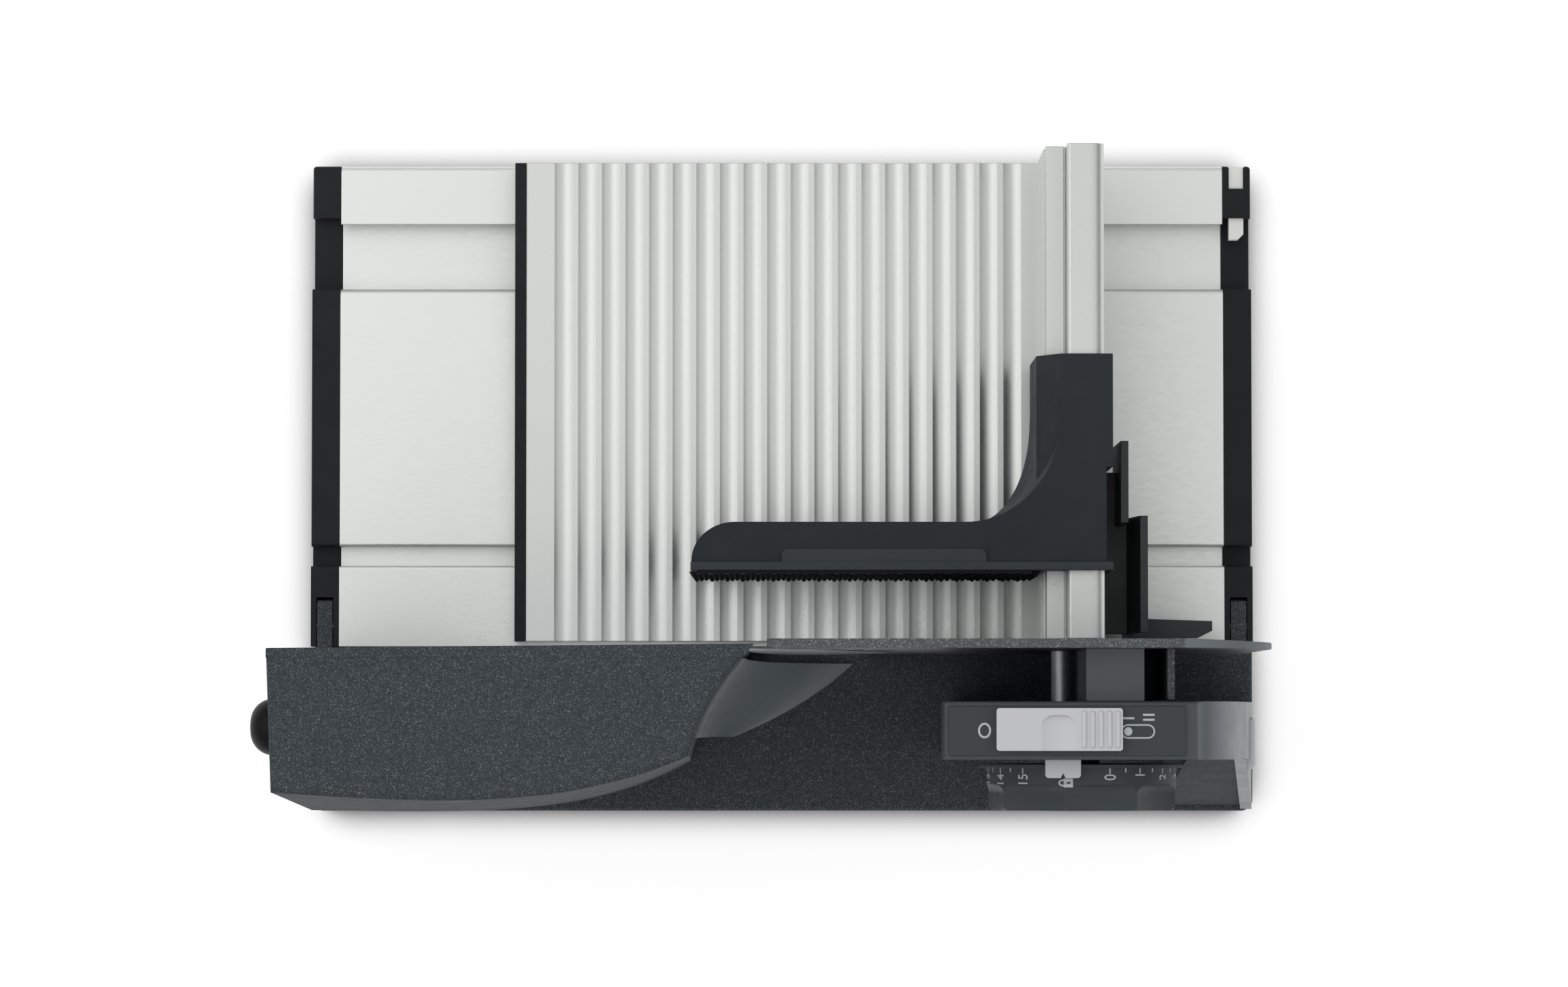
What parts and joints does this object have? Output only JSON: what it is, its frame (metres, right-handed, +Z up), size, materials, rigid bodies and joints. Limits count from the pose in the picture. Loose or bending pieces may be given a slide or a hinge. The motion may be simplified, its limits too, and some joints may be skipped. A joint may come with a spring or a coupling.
{
  "type": "folding electric food slicer",
  "caption": "Folding electric slicer with a round blade, a thickness dial and a sliding food carriage on an aluminium base.",
  "frame": {"origin": "middle of the footprint on the table", "axes": "+X towards the operator's end, +Y from the blade to the food carriage's front, +Z up"},
  "size_m": [0.3516, 0.2292, 0.206],
  "materials": {
    "aluminium": "fine brushed, anodised",
    "cap_black": "matte",
    "rubber": "matte",
    "screw_steel": "bright",
    "lock_white": "satin",
    "tray_metal": "satin",
    "glide": "smooth",
    "pusher_plastic": "matte",
    "guard_black": "satin",
    "housing_plastic": "speckled metallic",
    "smooth_plastic": "satin",
    "blade_steel": "polished",
    "gear_plastic": "moulded",
    "motor_steel": "rolled",
    "copper_core": "varnished",
    "bearing_steel": "ground",
    "brass_worm": "cut",
    "stop_metal": "ribbed",
    "slider_grey": "satin",
    "tab_clear": "frosted",
    "board_green": "varnished",
    "knob_black": "glossy"
  },
  "bodies": {
    "base": {"base_plate": "aluminium", "left_end_cap": "cap_black", "right_end_cap": "cap_black", "base_feet": "rubber", "end_cap_screws": "screw_steel", "hinge_pins": "screw_steel"},
    "tower": {"blade_bush": "brass_worm", "cable_inlet": "cap_black", "circuit_board": "board_green", "control_back": "housing_plastic", "control_housing": "smooth_plastic", "hinge_lugs": "housing_plastic", "housing_front": "housing_plastic", "index_tab": "tab_clear", "knob_bracket": "cap_black", "knob_spring": "screw_steel", "micro_switch": "cap_black", "motor_bearings": "bearing_steel", "motor_can": "motor_steel", "motor_cradle": "gear_plastic", "motor_housing": "housing_plastic", "motor_magnets": "motor_steel", "rear_platform": "housing_plastic", "safety_bracket": "cap_black", "safety_spring": "screw_steel", "scoop_flank": "smooth_plastic", "switch_panel": "housing_plastic", "tower_feet": "rubber", "under_cover": "cap_black", "under_cover_screws": "screw_steel"},
    "lock": {"carriage_lock": "lock_white"},
    "runner": {"carriage_runner": "glide", "runner_glide_pads": "glide"},
    "tray": {"carriage_tray": "tray_metal", "tray_edge_strip": "cap_black", "hand_guard": "guard_black"},
    "pusher": {"pusher_body": "pusher_plastic", "pusher_flange": "pusher_plastic", "pusher_teeth": "guard_black"},
    "blade_drive": {"blade": "blade_steel", "blade_hub": "motor_steel", "blade_bolt": "screw_steel", "gear_wheel": "gear_plastic"},
    "armature": {"motor_armature": "copper_core", "motor_shaft": "bearing_steel", "worm": "brass_worm", "cooling_fan": "cap_black"},
    "stop": {"stop_plate": "stop_metal", "guide_rod": "bearing_steel", "guide_block": "cap_black"},
    "dial": {"thickness_dial": "housing_plastic", "dial_spindle": "gear_plastic"},
    "switch": {"switch_slider": "slider_grey"},
    "safety": {"safety_button": "slider_grey"},
    "release": {"fold_release_knob": "knob_black"}
  },
  "joints": [
    {"name": "fold_hinge", "type": "hinge", "parent": "base", "child": "tower", "pos_m": [0.00905, -0.04938, 0.023], "axis": [-1, 0, 0], "range_deg": [0, 90]},
    {"name": "carriage_slide", "type": "slide", "parent": "base", "child": "runner", "axis": [1, 0, 0], "range_m": [-0.068, 0.05]},
    {"name": "tray_lift_off", "type": "slide", "parent": "runner", "child": "tray", "axis": [0, 1, 0], "range_m": [0, 0.281]},
    {"name": "pusher_slide", "type": "slide", "parent": "tray", "child": "pusher", "axis": [0, 1, 0], "range_m": [-0.019, 0.068]},
    {"name": "lock_slide", "type": "slide", "parent": "base", "child": "lock", "axis": [0, -1, 0], "range_m": [0, 0.004]},
    {"name": "blade_spin", "type": "hinge", "parent": "tower", "child": "blade_drive", "pos_m": [-0.03995, -0.05968, 0.1135], "axis": [0, 1, 0], "continuous": true},
    {"name": "motor_spin", "type": "hinge", "parent": "tower", "child": "armature", "pos_m": [-0.14295, -0.07838, 0.0886], "axis": [1, 0, 0], "continuous": true},
    {"name": "stop_slide", "type": "slide", "parent": "tower", "child": "stop", "axis": [0, -1, 0], "range_m": [0, 0.0164]},
    {"name": "dial_turn", "type": "hinge", "parent": "tower", "child": "dial", "pos_m": [0.1087, -0.11218, 0.145], "axis": [0, -1, 0], "range_deg": [0, 332.1]},
    {"name": "switch_slide", "type": "slide", "parent": "tower", "child": "switch", "axis": [1, 0, 0], "range_m": [0, 0.011]},
    {"name": "safety_press", "type": "slide", "parent": "tower", "child": "safety", "axis": [-1, 0, 0], "range_m": [0, 0.0014], "stiffness_N_per_m": 300, "springref_m": -0.004, "deforming": ["safety_spring"]},
    {"name": "release_press", "type": "slide", "parent": "tower", "child": "release", "axis": [1, 0, 0], "range_m": [0, 0.004], "stiffness_N_per_m": 400, "springref_m": -0.004, "deforming": ["knob_spring"]}
  ],
  "couplings": [
    {"joint": "tray_lift_off", "follows": "fold_hinge", "m_per_rad": 0.17825},
    {"joint": "motor_spin", "follows": "blade_spin", "ratio": 20},
    {"joint": "dial_turn", "follows": "stop_slide", "rad_per_m": 353.32}
  ]
}
